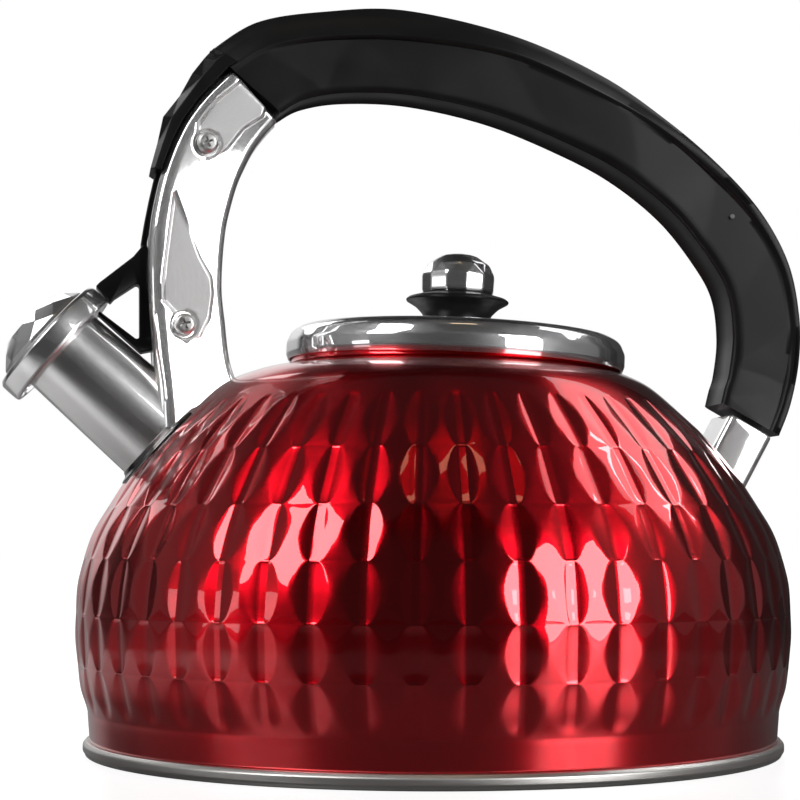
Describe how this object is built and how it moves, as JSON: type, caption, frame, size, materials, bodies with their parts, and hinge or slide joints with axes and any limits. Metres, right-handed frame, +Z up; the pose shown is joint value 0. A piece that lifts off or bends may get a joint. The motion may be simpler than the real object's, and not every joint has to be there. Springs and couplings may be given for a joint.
{
  "type": "stovetop whistling kettle",
  "caption": "Round-bodied stovetop whistling kettle with a quilted shell, straight spout with hinged whistle cap, lift-off lid and tall bow handle.",
  "frame": {"origin": "centre of the flat base on the body's axis, on the surface the kettle stands on", "axes": "+Z up along the body's axis, -X towards the spout, +X towards the rear handle foot, Y across the handle"},
  "size_m": [0.2506, 0.22, 0.2315],
  "materials": {
    "candy_red": "deep translucent metallic red lacquer, high gloss",
    "satin_steel": "turned satin stainless steel",
    "core_aluminium": "rolled, sealed inside the base",
    "polished_steel": "mirror-polished stainless steel sheet",
    "screw_steel": "plated machine screw",
    "spring_steel": "drawn spring wire",
    "black_nylon": "fine-grained matte heat-resistant nylon",
    "lever_nylon": "smooth matte heat-resistant nylon",
    "cap_chrome": "polished chrome plate",
    "lid_chrome": "polished chrome plate",
    "whistle_steel": "pressed stainless steel"
  },
  "bodies": {
    "kettle": {"body_shell": "candy_red", "base_pan": "satin_steel", "heat_disc": "core_aluminium", "base_cap": "satin_steel", "spout_tube": "polished_steel", "spout_collar": "polished_steel", "bracket_plate_near": "polished_steel", "bracket_plate_far": "polished_steel", "rear_bracket": "polished_steel", "handle_grip": "black_nylon", "bracket_screws": "screw_steel", "screw_posts": "screw_steel", "torsion_spring": "spring_steel"},
    "whistle_cap": {"lever": "lever_nylon", "cap_ring": "cap_chrome", "cap_dome": "cap_chrome", "whistle_plate": "whistle_steel", "whistle_disc": "whistle_steel"},
    "lid": {"lid_shell": "lid_chrome", "lid_plug": "satin_steel", "knob_collar": "black_nylon", "knob_cap": "lid_chrome", "knob_screw": "screw_steel"}
  },
  "joints": [
    {"name": "whistle_cap_swing", "type": "hinge", "parent": "kettle", "child": "whistle_cap", "pos_m": [-0.078, 0, 0.1303], "axis": [0, 1, 0], "range_deg": [0, 20], "stiffness_Nm_per_rad": 0.12, "springref_deg": -20.05},
    {"name": "lid_lift", "type": "slide", "parent": "kettle", "child": "lid", "axis": [0.0419, 0, 0.9991], "range_m": [0, 0.03]}
  ]
}
